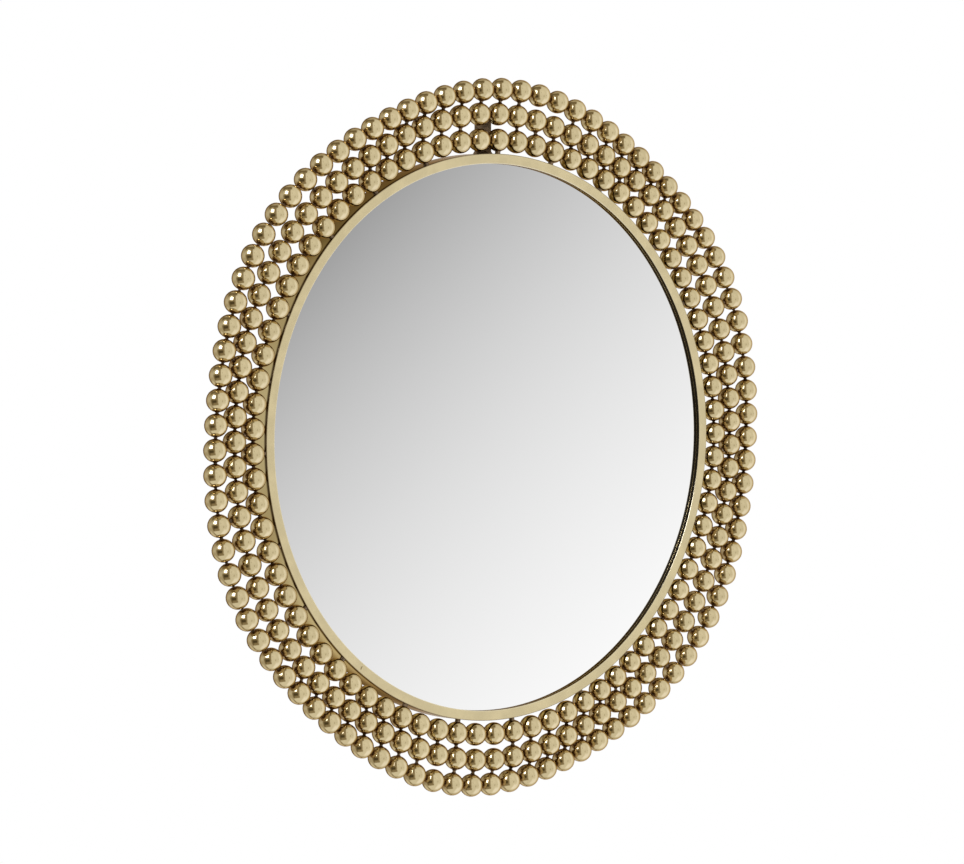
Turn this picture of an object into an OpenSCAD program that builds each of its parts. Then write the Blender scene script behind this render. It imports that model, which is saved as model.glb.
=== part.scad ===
// Round wall mirror in a shallow metal band, with three rings of metal balls welded around it.
// The front faces -Y and +Z is up. The origin is the centre of the mirror, midway between the fronts
// of the balls and the wall.
// Balls that repeat share one node for each ring, and each ball and each weld is a solid of its own.

/* [Glass and backing] */
// Diameter of the mirror that shows inside the band
opening_d = 603; // [450:1:750]
// Thickness of the silvered glass
glass_t = 4; // [3:0.5:6]
// How far the glass reaches outwards under the lip
glass_cover = 5; // [3:0.5:6.5]
// Width of the small bevel round the edge of the glass
glass_bevel = 0.6; // [0.2:0.1:1]
// Thickness of the foam sheet between glass and board
pad_t = 2; // [1:0.5:3]
// Thickness of the backing board
board_t = 9; // [8:0.5:11]
// Gap between the board's edge and the band's wall
board_clearance = 1; // [0.5:0.1:3]

/* [Band] */
// Width of the band's flat front face
face_w = 11; // [10:0.5:14]
// Thickness of the lip in front of the glass
lip_t = 5; // [3:0.5:6]
// Thickness of the band's wall behind the lip
wall_t = 4; // [2:0.5:5]
// Depth of the band from front to back
band_depth = 25; // [23:0.5:35]
// Width of the broken edges of the band
edge_break = 0.5; // [0.2:0.1:1]
// Angle of the closing seam, counterclockwise from the right as seen from the front
seam_angle = 233; // [0:1:359]
// Length of the seam's mark in the face
seam_mark_l = 4.5; // [3:0.5:8]
// Width of the seam's mark
seam_mark_w = 1.2; // [0.6:0.1:2]
// Depth of the seam's mark
seam_mark_depth = 0.6; // [0.3:0.1:1.5]

/* [Balls] */
// Diameter of a ball
ball_d = 25.4; // [22:0.1:28]
// Gap between neighbours in a ring, from which the number of balls follows
ball_gap = 1.35; // [1:0.05:2.5]
// Gap between the band and the inner ring
band_gap = 2.5; // [1.5:0.1:5]
// Mean gap from one ring to the next, along the radius
ring_gap = 0.8; // [0.5:0.1:3]
// How far a ring moves in where its balls nest between those of the ring inside it, and out where they don't
nest_depth = 2.3; // [0:0.1:2.8]
// How far the centres of the balls lie behind the band's front face
ball_setback = 4.5; // [3:0.5:8]
// Angle of the first ball of the inner ring
inner_start = 177.15; // [170:0.05:180]
// Angle of the first ball of the middle ring
middle_start = 175.15; // [170:0.05:180]
// Angle of the first ball of the outer ring
outer_start = 176.75; // [170:0.05:180]

/* [Welds and pegs] */
// Diameter of a weld neck between two balls
weld_d = 3.4; // [3:0.1:6]
// Widest gap between balls of two rings that is welded
weld_reach = 3; // [2.5:0.1:4]
// Number of pegs between the band and the inner ring
peg_count = 23; // [12:1:36]
// Diameter of a peg
peg_d = 6.5; // [4:0.5:8]
// Which ball of the inner ring has the first peg
peg_first = 2; // [0:1:10]

/* [Hanger strap] */
// Width of the strap
strap_w = 22; // [20:0.5:30]
// Thickness of the strap
strap_t = 3; // [2:0.5:4]
// Gap between the strap and the backs of the balls, filled by weld
strap_gap = 0.5; // [0.3:0.1:1]
// How far the strap reaches past the centres of the middle ring
strap_past = 2; // [0:0.5:5]
// Radius of the strap's corners
strap_corner = 4; // [2:0.5:8]
// Diameter of the hanging hole
hole_d = 7; // [5:0.5:8]
// How far the hole lies below the middle between the inner and middle rings, which hides it behind a ball
hole_drop = 7; // [0:0.5:8]
// Diameter of the weld beads between strap and balls
strap_bead_d = 5; // [4:0.5:7]
// Leg of the fillet welds between strap and band
fillet_leg = 2.5; // [1.5:0.5:4]

/* [Clips, screws and bumpers] */
// Number of board clips
clip_count = 8; // [4:1:12]
// Width of a clip
clip_w = 12; // [10:1:20]
// Thickness of the clips' steel
clip_t = 1.2; // [0.8:0.1:1.6]
// Length of a clip's foot on the board
clip_foot = 20; // [16:1:30]
// How far a clip's upright stops short of the band's rear edge
clip_drop = 0.5; // [0.2:0.1:1]
// Distance of the screw from the foot's inner end
screw_inset = 6; // [5:0.5:8]
// Diameter of a screw's shank
screw_d = 3; // [2.5:0.1:4]
// Length of a screw under its head
screw_l = 8; // [6:0.5:8.5]
// Diameter of a screw's head
screw_head_d = 6.4; // [5.5:0.1:8]
// Height of a screw's head
screw_head_h = 1.8; // [1.2:0.1:2.4]
// Play of the shank in the clip's hole
screw_play = 0.2; // [0.1:0.05:0.5]
// Width of the cross recess in a head
recess_w = 0.9; // [0.5:0.1:1.2]
// Depth of the cross recess
recess_depth = 1; // [0.5:0.1:1.1]
// Number of rubber bumpers
bumper_count = 4; // [3:1:6]
// Diameter of a bumper where it is stuck to the board
bumper_d = 20; // [12:1:30]
// How much smaller a bumper is across its wall face
bumper_taper = 2; // [0:0.5:4]
// How far the bumpers stand out past the band's rear edge
bumper_proud = 1; // [0.5:0.5:5]
// Distance of the bumpers from the board's edge
bumper_inset = 57; // [40:1:120]

/* [Hidden] */
$fn = 64;

// Facets of the large round pieces, and of the balls that hollow the ends of welds, where drawn as a mesh
round_fn = 240;
seat_fn = 120;
// How far a cutting shape runs past the face that it cuts
cut = 1;

// Places along Y, from the wall forwards and then from the band's front face back through what lies in it
wall_y = (ball_d / 2 - ball_setback + band_depth + bumper_proud) / 2;
band_back_y = wall_y - bumper_proud;
front_y = band_back_y - band_depth;
glass_front_y = front_y + lip_t;
glass_back_y = glass_front_y + glass_t;
board_front_y = glass_back_y + pad_t;
board_back_y = board_front_y + board_t;
clip_back_y = board_back_y + clip_t;
ball_y = front_y + ball_setback;
strap_front_y = ball_y + ball_d / 2 + strap_gap;
strap_back_y = strap_front_y + strap_t;

// Radii of the band and of what lies in it
opening_r = opening_d / 2;
band_r = opening_r + face_w;
wall_r = band_r - wall_t;
glass_r = opening_r + glass_cover;
board_r = wall_r - board_clearance;

// Radii of the rings, and as many balls as fit round each
ball_r = ball_d / 2;
inner_r = band_r + band_gap + ball_r;
middle_r = inner_r + ball_d + ring_gap;
outer_r = middle_r + ball_d + ring_gap;
function balls_round(r) = round(180 / asin((ball_d + ball_gap) / (2 * r)));
inner_n = balls_round(inner_r);
middle_n = balls_round(middle_r);
outer_n = balls_round(outer_r);

// A wave that is highest where the balls of two rings stand in line and lowest where they nest
function middle_wave(a) =
    nest_depth * cos(middle_n * (a - middle_start) - inner_n * (a - inner_start));
function outer_wave(a) =
    nest_depth * cos(outer_n * (a - outer_start) - middle_n * (a - middle_start));

// Centres of the balls as [x, z]
function at(r, a) = [r * cos(a), r * sin(a)];
inner_pts = [for (i = [0:inner_n - 1]) at(inner_r, inner_start - i * 360 / inner_n)];
middle_pts = [for (i = [0:middle_n - 1])
    let (a = middle_start - i * 360 / middle_n) at(middle_r + middle_wave(a), a)];
outer_pts = [for (i = [0:outer_n - 1])
    let (a = outer_start - i * 360 / outer_n) at(outer_r + middle_wave(a) + outer_wave(a), a)];

// The strap ends past the middle ring, and its hole lies between the inner and middle rings
strap_end_r = middle_r + middle_wave(90) + strap_past;
hole_z = (inner_r + middle_r + middle_wave(90)) / 2 - hole_drop;

// The screws and bumpers stand on circles around the mirror's centre
screw_ring_r = wall_r - clip_foot + screw_inset;
bumper_ring_r = board_r - bumper_inset;

gold = [0.80, 0.72, 0.50];
shaded_gold = [0.42, 0.35, 0.22];
steel = [0.68, 0.69, 0.70];

// Turns a shape built around +Z so that it stands around +Y
module facing_back() {
    rotate([-90, 0, 0]) children();
}

// Turns a shape at +X to an angle on the mirror, counterclockwise as seen from the front
module at_angle(a) {
    rotate([0, -a, 0]) children();
}

// A flat disc between two places along Y
module disc(r, from_y, to_y) {
    translate([0, from_y, 0]) facing_back() cylinder(r = r, h = to_y - from_y, $fn = round_fn);
}

// A profile of [radius, y] points carried round the whole mirror
module hoop(profile) {
    facing_back() rotate_extrude($fn = round_fn) polygon(profile);
}

// The same through a short arc of a given length at a given radius, centred on +X
module arc_piece(profile, r, length) {
    sweep = length / r * 180 / PI;
    facing_back() rotate([0, 0, -sweep / 2]) rotate_extrude(angle = sweep, $fn = round_fn)
        polygon(profile);
}

// Carries a shape to each of several even places round the mirror
module evenly(count) {
    for (i = [0:count - 1]) at_angle((i + 0.5) * 360 / count) children();
}

module frame_band() color(gold) {
    difference() {
        hoop([
            [opening_r, front_y + edge_break],
            [opening_r + edge_break, front_y],
            [band_r - edge_break, front_y],
            [band_r, front_y + edge_break],
            [band_r, band_back_y - edge_break],
            [band_r - edge_break, band_back_y],
            [wall_r, band_back_y],
            [wall_r, glass_front_y],
            [opening_r, glass_front_y],
        ]);
        at_angle(seam_angle)
            translate([(opening_r + band_r - seam_mark_l) / 2, front_y - cut, -seam_mark_w / 2])
                cube([seam_mark_l, seam_mark_depth + cut, seam_mark_w]);
    }
}

module mirror_glass() color([0.86, 0.88, 0.90]) {
    hoop([
        [0, glass_front_y],
        [glass_r - glass_bevel, glass_front_y],
        [glass_r, glass_front_y + glass_bevel],
        [glass_r, glass_back_y - glass_bevel],
        [glass_r - glass_bevel, glass_back_y],
        [0, glass_back_y],
    ]);
}

module foam_pad() color([0.93, 0.93, 0.91]) {
    disc(glass_r, glass_back_y, board_front_y);
}

module backing_board() color([0.55, 0.43, 0.30]) {
    difference() {
        disc(board_r, board_front_y, board_back_y);
        evenly(clip_count) translate([screw_ring_r, clip_back_y - screw_l, 0]) facing_back()
            cylinder(d = screw_d, h = screw_l);
    }
}

module board_clips() color(steel) {
    upright_y = band_back_y - clip_drop;
    evenly(clip_count) difference() {
        arc_piece([
            [wall_r - clip_foot, board_back_y],
            [wall_r, board_back_y],
            [wall_r, upright_y],
            [wall_r - clip_t, upright_y],
            [wall_r - clip_t, clip_back_y],
            [wall_r - clip_foot, clip_back_y],
        ], wall_r, clip_w);
        translate([screw_ring_r, board_back_y - cut, 0]) facing_back()
            cylinder(r = screw_d / 2 + screw_play, h = clip_t + 2 * cut);
    }
}

module clip_screws() color(steel) {
    evenly(clip_count) translate([screw_ring_r, clip_back_y, 0]) facing_back() difference() {
        union() {
            translate([0, 0, -screw_l]) cylinder(d = screw_d, h = screw_l + recess_depth / 2);
            cylinder(d1 = screw_head_d, d2 = screw_head_d - screw_head_h, h = screw_head_h);
        }
        for (turn = [0, 90]) rotate([0, 0, turn])
            translate([-screw_head_d / 4, -recess_w / 2, screw_head_h - recess_depth])
                cube([screw_head_d / 2, recess_w, recess_depth + cut]);
    }
}

module wall_bumpers() color([0.16, 0.16, 0.17]) {
    evenly(bumper_count) translate([bumper_ring_r, board_back_y, 0]) facing_back()
        cylinder(d1 = bumper_d, d2 = bumper_d - bumper_taper, h = wall_y - board_back_y);
}

module balls(points) color(gold) {
    for (p = points) translate([p[0], ball_y, p[1]]) sphere(r = ball_r);
}

// A weld neck fills a cylinder between two balls, so each end is hollowed by the ball it sits on
module weld_neck(p, q) {
    reach = norm(q - p);
    translate([p[0], ball_y, p[1]]) at_angle(atan2(q[1] - p[1], q[0] - p[0])) difference() {
        rotate([0, 90, 0]) cylinder(d = weld_d, h = reach);
        rotate([0, 180, 0]) sphere(r = ball_r, $fn = seat_fn);
        translate([reach, 0, 0]) sphere(r = ball_r, $fn = seat_fn);
    }
}

module ring_welds(points) color(shaded_gold) {
    for (i = [0:len(points) - 1]) weld_neck(points[i], points[(i + 1) % len(points)]);
}

module cross_welds(inside, outside) color(shaded_gold) {
    for (p = inside, q = outside)
        if (norm(q - p) < ball_d + weld_reach) weld_neck(p, q);
}

module band_pegs() color(shaded_gold) {
    for (k = [0:peg_count - 1]) {
        i = (peg_first + round(k * inner_n / peg_count)) % inner_n;
        at_angle(inner_start - i * 360 / inner_n) translate([0, ball_y, 0]) difference() {
            translate([band_r - cut, 0, 0]) rotate([0, 90, 0])
                cylinder(d = peg_d, h = inner_r - band_r + cut);
            translate([0, -peg_d, 0]) facing_back() cylinder(r = band_r, h = 2 * peg_d, $fn = round_fn);
            translate([inner_r, 0, 0]) sphere(r = ball_r, $fn = seat_fn);
        }
    }
}

// Outline of the strap, with its two upper corners rounded
module strap_outline() {
    start_r = band_r - cut;
    corner_x = strap_w / 2 - strap_corner;
    corner_r = strap_end_r - strap_corner;
    translate([-strap_w / 2, start_r]) square([strap_w, corner_r - start_r]);
    translate([-corner_x, start_r]) square([2 * corner_x, strap_end_r - start_r]);
    for (side = [-1, 1]) translate([side * corner_x, corner_r]) circle(r = strap_corner);
}

module hanger_strap() color(shaded_gold) {
    difference() {
        translate([0, strap_back_y, 0]) rotate([90, 0, 0]) linear_extrude(height = strap_t) strap_outline();
        disc(band_r, strap_front_y - cut, strap_back_y + cut);
        translate([0, strap_front_y - cut, hole_z]) facing_back() cylinder(d = hole_d, h = strap_t + 2 * cut);
    }
}

// The beads stand where balls of the two rings lie in front of the strap
module strap_welds() color(shaded_gold) {
    bead_x = (strap_w - strap_bead_d) / 2;
    for (p = concat(inner_pts, middle_pts))
        if (abs(p[0]) < strap_w / 2 && p[1] > 0)
            difference() {
                translate([max(-bead_x, min(bead_x, p[0])), ball_y, p[1]]) facing_back()
                    cylinder(d = strap_bead_d, h = strap_front_y - ball_y);
                translate([p[0], ball_y, p[1]]) sphere(r = ball_r);
            }
    for (side = [[strap_back_y, 1], [strap_front_y, -1]])
        at_angle(90) arc_piece([
            [band_r, side[0]],
            [band_r + fillet_leg, side[0]],
            [band_r, side[0] + side[1] * fillet_leg],
        ], band_r, strap_w);
}

frame_band();
mirror_glass();
foam_pad();
backing_board();
board_clips();
clip_screws();
wall_bumpers();
balls(inner_pts);  // inner_ring_balls
balls(middle_pts);  // middle_ring_balls
balls(outer_pts);  // outer_ring_balls
ring_welds(inner_pts);  // inner_ring_welds
ring_welds(middle_pts);  // middle_ring_welds
ring_welds(outer_pts);  // outer_ring_welds
cross_welds(inner_pts, middle_pts);  // inner_middle_welds
cross_welds(middle_pts, outer_pts);  // middle_outer_welds
band_pegs();
hanger_strap();
strap_welds();
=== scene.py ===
"""Looks of a round wall mirror with three rings of metal balls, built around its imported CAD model.

Everything is in metres in the CAD model's own frame: the mirror faces -Y, +Z is up, and the origin is the
mirror's centre, midway between the fronts of the balls and the wall. Places are read from the CAD nodes.
"""

import logging
import math
from dataclasses import dataclass, field, fields
from enum import Enum

import bpy
import numpy as np
from mathutils import Euler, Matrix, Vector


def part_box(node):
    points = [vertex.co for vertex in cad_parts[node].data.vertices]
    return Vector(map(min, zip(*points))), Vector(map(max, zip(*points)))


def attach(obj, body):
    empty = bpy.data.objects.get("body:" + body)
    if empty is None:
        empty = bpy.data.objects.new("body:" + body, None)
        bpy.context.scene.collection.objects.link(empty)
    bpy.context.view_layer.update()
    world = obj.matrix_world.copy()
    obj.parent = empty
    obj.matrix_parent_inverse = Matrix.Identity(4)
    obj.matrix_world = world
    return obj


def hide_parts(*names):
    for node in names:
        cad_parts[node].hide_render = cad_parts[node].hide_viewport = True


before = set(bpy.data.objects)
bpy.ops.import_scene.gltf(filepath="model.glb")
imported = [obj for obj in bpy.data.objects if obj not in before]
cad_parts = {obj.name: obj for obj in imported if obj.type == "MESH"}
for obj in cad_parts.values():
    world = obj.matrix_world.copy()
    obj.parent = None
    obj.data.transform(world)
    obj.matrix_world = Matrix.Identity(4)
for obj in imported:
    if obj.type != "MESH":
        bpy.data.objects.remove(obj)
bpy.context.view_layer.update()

MM = 0.001
BALL = 25.4 * MM
BODY = "root"
SHARP_ANGLE = math.radians(40)
Y_AXIS = np.array([0.0, 1.0, 0.0])

log = logging.getLogger("mirror")


# Shapes as arrays


class Wear(Enum):
    """What a surface says about each of its points, which the finishes read as an attribute."""

    HEAT = "weld_heat"
    # Painted shade where the balls meet and along the front of the band's outer edge, plus the seam mark's own dark
    # line
    PAINTED_SHADE_AND_SEAM = "gap"
    TONE = "tone"
    EDGE = "edge_wear"


@dataclass
class Surface:
    """Points and faces of one or more closed shapes.

    Attributes:
        points: One row for each point, in metres.
        faces: One row of four point numbers for each face. A triangle repeats its last number.
        values: A number for each point, for each kind of wear.
        corner_map: Two map coordinates for each corner of each face, where a pattern follows the surface.
    """

    points: np.ndarray
    faces: np.ndarray
    values: dict[Wear, np.ndarray] = field(default_factory=dict)
    corner_map: np.ndarray | None = None

    def volume(self) -> float:
        """Adds up the signed volume between each face's two triangles and the origin.

        Returns:
            The enclosed volume, negative where the faces point inwards.
        """
        a, b, c, d = (self.points[self.faces[:, k]] for k in range(4))
        halves = np.einsum("ij,ij->i", a, np.cross(b, c)) + np.einsum("ij,ij->i", a, np.cross(c, d))
        return float(halves.sum() / 6)

    def outward(self) -> "Surface":
        """Turns all faces round where they point inwards.

        Returns:
            The same surface, with its faces pointing outwards.
        """
        if self.volume() < 0:
            triangles = self.faces[:, 2] == self.faces[:, 3]
            order = np.where(triangles[:, None], [2, 1, 0, 0], [3, 2, 1, 0])
            self.faces = np.take_along_axis(self.faces, order, axis=1)
            if self.corner_map is not None:
                self.corner_map = np.take_along_axis(self.corner_map, order[..., None], axis=1)
        return self

    def copies(self, places: np.ndarray, bases: np.ndarray | None = None) -> "Surface":
        """Repeats the surface, each time turned onto its own three axes and carried to its own place.

        Args:
            places: For each copy, the point that the surface's origin goes to.
            bases: For each copy, three rows that the surface's own x, y and z run along, or None for no turn.

        Returns:
            One surface with all the copies.
        """
        if bases is None:
            bases = np.broadcast_to(np.eye(3), (len(places), 3, 3))
        points = np.einsum("vi,kij->kvj", self.points, bases) + places[:, None, :]
        faces = self.faces[None] + len(self.points) * np.arange(len(places))[:, None, None]
        return Surface(points.reshape(-1, 3), faces.reshape(-1, 4))


def grid_faces(rows: int, columns: int, rows_close: bool, columns_close: bool) -> np.ndarray:
    """Numbers the faces of a grid of points that is stored row by row.

    Args:
        rows: Number of rows of points.
        columns: Number of points in a row.
        rows_close: Whether the last row joins the first.
        columns_close: Whether the last point of a row joins its first.

    Returns:
        Four point numbers for each face.
    """
    row = np.arange(rows if rows_close else rows - 1)
    column = np.arange(columns if columns_close else columns - 1)
    row, column = np.meshgrid(row, column, indexing="ij")
    below, beside = (row + 1) % rows, (column + 1) % columns
    corners = [row * columns + column, below * columns + column, below * columns + beside, row * columns + beside]
    return np.stack(corners, axis=-1).reshape(-1, 4)


def merged(points: np.ndarray, faces: np.ndarray) -> tuple[np.ndarray, np.ndarray]:
    """Makes one point of those that share a place, and a triangle of each face that this folds.

    Args:
        points: One row for each point.
        faces: Four point numbers for each face.

    Returns:
        The points that are left, and the faces.
    """
    _, first, number = np.unique(np.round(points, 7), axis=0, return_index=True, return_inverse=True)
    faces = number.reshape(-1)[faces]
    folded = faces[:, 0] == faces[:, 1]
    faces[folded] = np.roll(faces[folded], -2, axis=1)
    return points[first], faces


def even_angles(count: int) -> np.ndarray:
    """Gives a number of even steps round a circle in radians, from 0."""
    return np.arange(count) * math.tau / count


def revolved(profile: np.ndarray, angles: np.ndarray, closed: bool = False, mapped: bool = False) -> Surface:
    """Carries a profile round the Y axis: a point at radius r and height y goes to (r cos a, y, r sin a).

    Args:
        profile: Rows of radius and height. An open profile starts and ends on the axis.
        angles: The steps a round the axis, in radians.
        closed: Whether the profile's last point joins its first.
        mapped: Whether the surface is mapped by the length round it and the length along the profile.

    Returns:
        The closed surface.
    """
    radius, height = profile.T
    turned = [np.cos(angles)[:, None] * radius, np.tile(height, (len(angles), 1)), np.sin(angles)[:, None] * radius]
    faces = grid_faces(len(angles), len(profile), True, closed)
    corner_map = None
    if mapped:
        along = np.concatenate([[0.0], np.cumsum(np.hypot(*np.diff(profile, axis=0).T))])
        turn, station = faces // len(profile), faces % len(profile)
        around = angles[turn] + math.tau * ((turn == 0) & (turn[:, :1] != 0))
        corner_map = np.stack([around * radius.max(), along[station]], axis=-1)
    points, faces = merged(np.stack(turned, axis=-1).reshape(-1, 3), faces)
    return Surface(points, faces, corner_map=corner_map).outward()


def spindle(radii: np.ndarray, stations: np.ndarray, half_length: float, segments: int) -> Surface:
    """Revolves a short neck with flat ends.

    Args:
        radii: The neck's radius at each station.
        stations: Where each radius lies along the Y axis, from -1 at one end to 1 at the other.
        half_length: Half of the neck's length.
        segments: Steps round the neck.

    Returns:
        The closed neck, with its middle at the origin.
    """
    profile = np.stack([np.pad(radii, 1), half_length * np.pad(stations, 1, mode="edge")], axis=1)
    return revolved(profile, even_angles(segments))


def rounded(corners: np.ndarray, radii: np.ndarray, steps: int = 3) -> np.ndarray:
    """Rounds the corners of a closed outline with quadratic curves.

    Each corner is replaced by the curve that leaves the outline one radius before the corner, is pulled
    towards it, and comes back to the outline one radius after it.

    Args:
        corners: Two coordinates of each corner.
        radii: How far each curve starts from its corner.
        steps: Number of pieces in each curve.

    Returns:
        The points of the rounded outline. A corner of radius 0 stays one point.
    """
    outline = []
    for corner, before, after, radius in zip(
        corners, np.roll(corners, 1, axis=0), np.roll(corners, -1, axis=0), radii
    ):
        if radius == 0:
            outline.append(corner[None])
            continue
        t = np.linspace(0, 1, steps + 1)[:, None]
        start = corner + (before - corner) / np.linalg.norm(before - corner) * radius
        end = corner + (after - corner) / np.linalg.norm(after - corner) * radius
        outline.append((1 - t) ** 2 * start + 2 * t * (1 - t) * corner + t**2 * end)
    return np.concatenate(outline)


def smooth_step(value: np.ndarray, low: float, high: float) -> np.ndarray:
    """Rises softly from 0 at low to 1 at high, as 3t² - 2t³."""
    t = np.clip((value - low) / (high - low), 0, 1)
    return t * t * (3 - 2 * t)


def soft_fall(value: np.ndarray, low: float, high: float) -> np.ndarray:
    """Falls softly from 1 at low to 0 at high."""
    return 1 - smooth_step(value, low, high)


def in_line(radius: np.ndarray | float, height: np.ndarray | float) -> np.ndarray:
    """Gives rows of radius and height, one of which is the same in all the rows."""
    return np.stack(np.broadcast_arrays(radius, height), axis=-1)


def scattered(count: int, salt: float) -> np.ndarray:
    """Gives each of a number of copies its own fixed number from 0 to 1, as the fraction of a large sine."""
    return np.modf(np.abs(np.sin(np.arange(1, count + 1) * 12.9898 + salt) * 43758.5453))[0]


# What the CAD nodes say


def node_points(node: str) -> tuple[np.ndarray, np.ndarray]:
    """Reads a CAD node's points and triangles.

    Args:
        node: Name of the node.

    Returns:
        One row for each point, and three point numbers for each triangle.
    """
    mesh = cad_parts[node].data
    points = np.empty(3 * len(mesh.vertices))
    corners = np.empty(len(mesh.loops), dtype=np.int32)
    mesh.vertices.foreach_get("co", points)
    mesh.loops.foreach_get("vertex_index", corners)
    return points.reshape(-1, 3), corners.reshape(-1, 3)


def solid_centres(node: str) -> np.ndarray:
    """Finds the middle of the box round each separate solid of a CAD node.

    The node's triangles are loose, so points in one place count as one. Each point then takes the lowest
    number among the points that it shares a triangle with, over and over, until no number changes.

    Args:
        node: Name of the node.

    Returns:
        One row for each solid.
    """
    points, triangles = node_points(node)
    places, number = np.unique(np.round(points, 6), axis=0, return_inverse=True)
    triangles = number.reshape(-1)[triangles]
    label, before = np.arange(len(places)), None
    while before is None or (label != before).any():
        before = label.copy()
        np.minimum.at(label, triangles, label[triangles].min(axis=1, keepdims=True))
        label = label[label]
    order = np.argsort(label, kind="stable")
    starts = np.unique(label[order], return_index=True)[1]
    low = np.minimum.reduceat(places[order], starts)
    high = np.maximum.reduceat(places[order], starts)
    return (low + high) / 2


def round_axes(places: np.ndarray) -> np.ndarray:
    """Gives each place three axes of its own: outwards from the mirror's centre, back, and round it."""
    outwards = places * [1, 0, 1]
    outwards /= np.linalg.norm(outwards, axis=1, keepdims=True)
    back = np.broadcast_to(Y_AXIS, outwards.shape)
    return np.stack([outwards, back, np.cross(outwards, back)], axis=1)


# Shader nodes


Socket = bpy.types.NodeSocket
Input = float | tuple | Socket
Inputs = dict[str | int, Input]
WHITE = (1.0, 1.0, 1.0, 1.0)


def emptied(holder: bpy.types.Material | bpy.types.World) -> bpy.types.NodeTree:
    """Gives a material or world an empty tree of nodes, and returns it."""
    holder.use_nodes = True
    holder.node_tree.nodes.clear()
    return holder.node_tree


class Shader:
    """Adds nodes to a shader tree, and gives each its values and links."""

    def __init__(self, tree: bpy.types.NodeTree) -> None:
        """Starts on a tree."""
        self.tree = tree

    def node(self, kind: str, inputs: Inputs | None = None, **settings: object) -> bpy.types.Node:
        """Adds one node.

        Args:
            kind: The node's type, without the words ShaderNode.
            inputs: A value, or another node's output, for each input by name or number.
            settings: The node's own settings by name.

        Returns:
            The new node.
        """
        made = self.tree.nodes.new("ShaderNode" + kind)
        for name, setting in settings.items():
            setattr(made, name, setting)
        for name, value in (inputs or {}).items():
            if isinstance(value, Socket):
                self.tree.links.new(value, made.inputs[name])
            else:
                made.inputs[name].default_value = value
        return made

    def math(self, operation: str, first: Input, second: Input = 0.0, third: Input = 0.0) -> Socket:
        """Adds a Math node and returns its output."""
        return self.node("Math", {0: first, 1: second, 2: third}, operation=operation).outputs[0]

    def vector(self, operation: str, first: Input, second: Input, output: str = "Vector") -> Socket:
        """Adds a Vector Math node and returns one of its outputs."""
        return self.node("VectorMath", {0: first, 1: second}, operation=operation).outputs[output]

    def ramp(self, value: Input, low: Input, high: Input, at_low: float = 0.0, at_high: float = 1.0) -> Socket:
        """Adds a soft step from one value at low to another at high, and returns its output."""
        inputs = {"Value": value, "From Min": low, "From Max": high, "To Min": at_low, "To Max": at_high}
        return self.node("MapRange", inputs, interpolation_type="SMOOTHSTEP").outputs[0]

    def mix(self, share: Input, first: Input, second: Input) -> Socket:
        """Adds a colour mix and returns its output."""
        return self.node("Mix", {0: share, 6: first, 7: second}, data_type="RGBA").outputs[2]

    def noise(self, place: Socket, scale: Input, detail: float = 2.0, output: str = "Fac") -> Socket:
        """Adds a noise texture and returns one of its outputs."""
        return self.node("TexNoise", {"Vector": place, "Scale": scale, "Detail": detail}).outputs[output]

    def group(self, tree: bpy.types.NodeTree, inputs: Inputs) -> bpy.types.Node:
        """Places a node group with its own values."""
        return self.node("Group", inputs, node_tree=tree)


class Group(Shader):
    """A shader node group with named inputs and outputs, which several materials share."""

    def __init__(self, name: str, inputs: dict[str, float | None], outputs: list[str]) -> None:
        """Starts the group.

        Args:
            name: Name of the group.
            inputs: The usual value of each input, or None where it takes a vector.
            outputs: Names of the outputs, which all carry one number.
        """
        super().__init__(bpy.data.node_groups.new(name, "ShaderNodeTree"))
        for label, value in inputs.items():
            kind = "NodeSocketVector" if value is None else "NodeSocketFloat"
            socket = self.tree.interface.new_socket(name=label, in_out="INPUT", socket_type=kind)
            if value is not None:
                socket.default_value = value
        for label in outputs:
            self.tree.interface.new_socket(name=label, in_out="OUTPUT", socket_type="NodeSocketFloat")
        self.given = self.tree.nodes.new("NodeGroupInput").outputs
        self.result = self.tree.nodes.new("NodeGroupOutput").inputs

    def put_out(self, name: str, value: Socket) -> None:
        """Links a value to one of the group's outputs."""
        self.tree.links.new(value, self.result[name])


def fine_scratches() -> bpy.types.NodeTree:
    """Thin straight lines in many directions, as the edges of large crooked cells.

    Returns:
        A group whose Mask is 1 on a scratch.
    """
    g = Group("fine scratches", {"Vector": None, "Cells per Metre": 60.0, "Line Width": 0.02}, ["Mask"])
    place = g.given["Vector"]
    shift = g.vector("MULTIPLY", g.noise(place, 40.0, output="Color"), (0.02, 0.02, 0.02))
    inputs = {"Vector": g.vector("ADD", place, shift), "Scale": g.given["Cells per Metre"]}
    cells = g.node("TexVoronoi", inputs, feature="DISTANCE_TO_EDGE")
    line = g.math("DIVIDE", cells.outputs["Distance"], g.given["Line Width"])
    worn = g.ramp(g.noise(place, 90.0, 1.0), 0.42, 0.62)
    g.put_out("Mask", g.math("MULTIPLY", g.ramp(line, 0.0, 1.0, 1.0, 0.0), worn))
    return g.tree


def small_specks() -> bpy.types.NodeTree:
    """Small round specks, such as pits or settled dust, in some cells of a grid of scattered points.

    Returns:
        A group whose Mask is 1 on a speck.
    """
    g = Group("small specks", {"Vector": None, "Cells per Metre": 400.0, "Share": 0.2, "Radius": 0.15}, ["Mask"])
    cells = g.node("TexVoronoi", {"Vector": g.given["Vector"], "Scale": g.given["Cells per Metre"]})
    reach = g.math("DIVIDE", cells.outputs["Distance"], g.given["Radius"])
    chosen = g.math("LESS_THAN", g.node("SeparateColor", {0: cells.outputs["Color"]}).outputs[0], g.given["Share"])
    g.put_out("Mask", g.math("MULTIPLY", g.ramp(reach, 0.6, 1.0, 1.0, 0.0), chosen))
    return g.tree


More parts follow.
